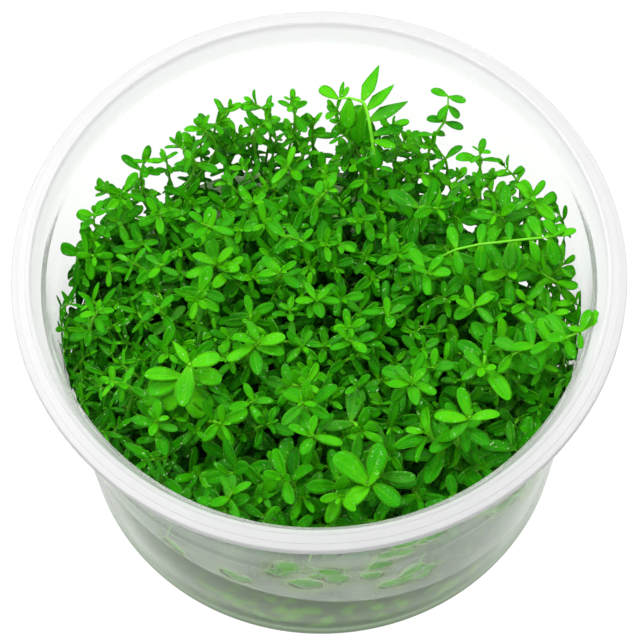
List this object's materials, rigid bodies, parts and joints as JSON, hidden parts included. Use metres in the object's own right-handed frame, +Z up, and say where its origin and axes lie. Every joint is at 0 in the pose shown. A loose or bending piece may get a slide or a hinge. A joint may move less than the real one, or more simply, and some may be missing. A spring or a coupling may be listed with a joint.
{
  "type": "dwarf rotala in bowl",
  "caption": "Round, slightly tapered, milky-clear plastic tub with a lid flange, holding a layer of gel and a dense tuft of small leafy aquarium shoots that stand in it and fill it to the rim.",
  "frame": {"origin": "centre of the tub's foot, on the surface that it stands on", "axes": "+Z up along the tub's axis; -Y is the near side of the reference view and +X its right"},
  "size_m": [0.108, 0.108, 0.0618],
  "materials": {
    "milky_plastic": "translucent moulded plastic",
    "clear_gel": "wet nutrient gel",
    "leaf_green": "living leaf, satin",
    "deep_green": "living leaf in shade, satin"
  },
  "bodies": {
    "root": {"cup": "milky_plastic", "gel": "clear_gel", "shoot_01": "leaf_green", "shoot_02": "leaf_green", "shoot_03": "leaf_green", "shoot_04": "leaf_green", "shoot_05": "leaf_green", "shoot_06": "leaf_green", "shoot_07": "leaf_green", "shoot_08": "leaf_green", "shoot_09": "leaf_green", "shoot_10": "leaf_green", "shoot_11": "leaf_green", "shoot_12": "leaf_green", "shoot_13": "leaf_green", "shoot_14": "leaf_green", "shoot_15": "leaf_green", "shoot_16": "leaf_green", "shoot_17": "leaf_green", "shoot_18": "leaf_green", "shoot_19": "leaf_green", "shoot_20": "leaf_green", "shoot_21": "leaf_green", "shoot_22": "leaf_green", "shoot_23": "leaf_green", "shoot_24": "leaf_green", "shoot_25": "leaf_green", "shoot_26": "leaf_green", "shoot_27": "leaf_green", "shoot_28": "leaf_green", "shoot_29": "leaf_green", "shoot_30": "leaf_green", "shoot_31": "leaf_green", "shoot_32": "leaf_green", "shoot_33": "leaf_green", "shoot_34": "leaf_green", "shoot_35": "leaf_green", "shoot_36": "leaf_green", "shoot_37": "leaf_green", "shoot_38": "leaf_green", "shoot_39": "leaf_green", "shoot_40": "leaf_green", "shoot_41": "leaf_green", "shoot_42": "leaf_green", "shoot_43": "leaf_green", "shoot_44": "leaf_green", "shoot_45": "leaf_green", "shoot_46": "leaf_green", "shoot_47": "leaf_green", "thicket": "deep_green"}
  },
  "joints": []
}
